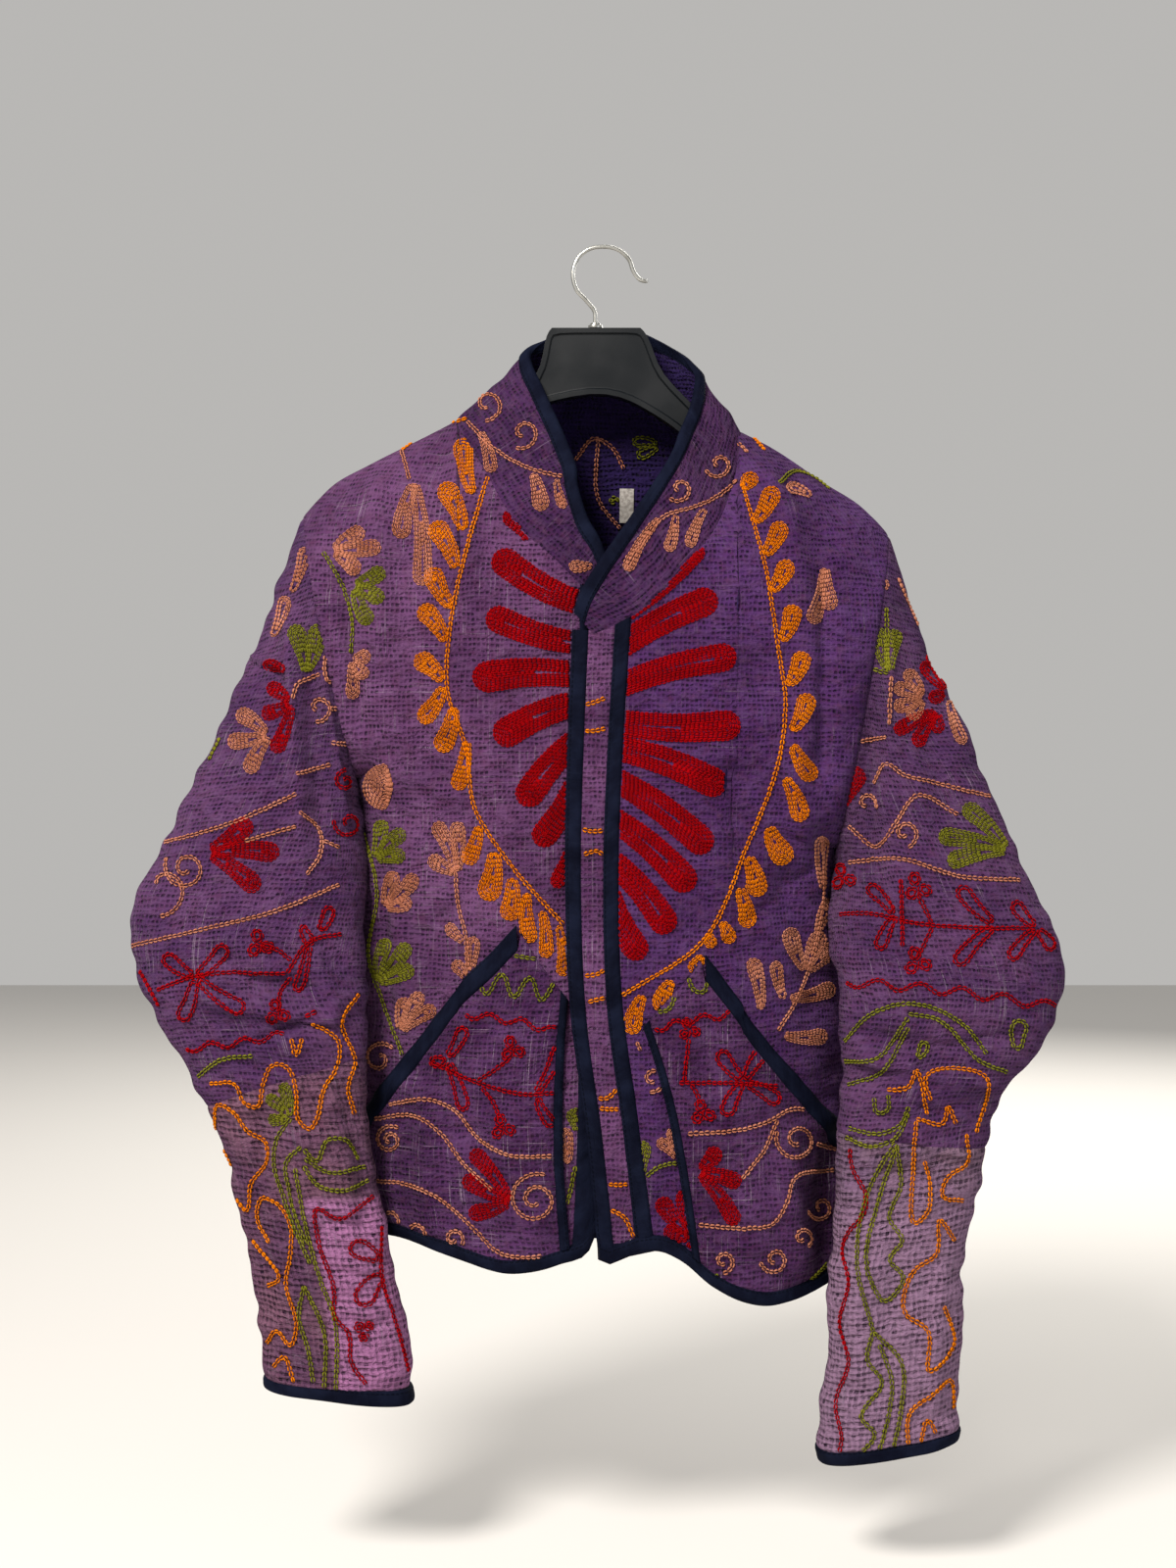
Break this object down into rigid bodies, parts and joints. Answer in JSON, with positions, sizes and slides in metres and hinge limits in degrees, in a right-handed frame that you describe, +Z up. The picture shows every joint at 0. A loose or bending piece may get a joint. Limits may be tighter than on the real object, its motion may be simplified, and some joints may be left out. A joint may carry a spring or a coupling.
{
  "type": "quilted embroidered kantha jacket on a clothes hanger",
  "caption": "Short quilted kantha jacket with embroidery, navy bindings, a stand collar and slanted patch pockets, hung on a wide-crest clothes hanger with a wire hook.",
  "frame": {"origin": "top of the hanger hook's inner side, where a nail or a rail carries it", "axes": "+Z up, +X the viewer's right facing the jacket's front, +Y away from the viewer, towards the jacket's back"},
  "size_m": [0.6477, 0.1336, 0.856],
  "materials": {
    "kantha_cloth": "purple cotton quilted with rows of running stitch, embroidered in wool",
    "navy_binding": "plain navy cotton, folded and stitched",
    "label_cloth": "plain woven label, left bare",
    "hanger_plastic": "moulded, satin",
    "hook_steel": "plated wire"
  },
  "bodies": {
    "root": {"back_panel": "kantha_cloth", "front_right": "kantha_cloth", "front_left": "kantha_cloth", "front_edge_binding_right": "navy_binding", "front_edge_binding_left": "navy_binding", "placket_band": "kantha_cloth", "placket_seam_binding": "navy_binding", "pocket_right": "kantha_cloth", "pocket_left": "kantha_cloth", "pocket_mouth_binding_right": "navy_binding", "pocket_mouth_binding_left": "navy_binding", "pocket_edge_binding_right": "navy_binding", "pocket_edge_binding_left": "navy_binding", "hem_binding_right": "navy_binding", "hem_binding_left": "navy_binding", "hem_binding_back": "navy_binding", "collar": "kantha_cloth", "collar_binding": "navy_binding", "sleeve_right_upper": "kantha_cloth", "sleeve_right_lower": "kantha_cloth", "sleeve_left_upper": "kantha_cloth", "sleeve_left_lower": "kantha_cloth", "cuff_binding_right": "navy_binding", "cuff_binding_left": "navy_binding", "label": "label_cloth", "hanger_body": "hanger_plastic", "hanger_boss": "hook_steel", "hanger_hook": "hook_steel"}
  },
  "joints": []
}
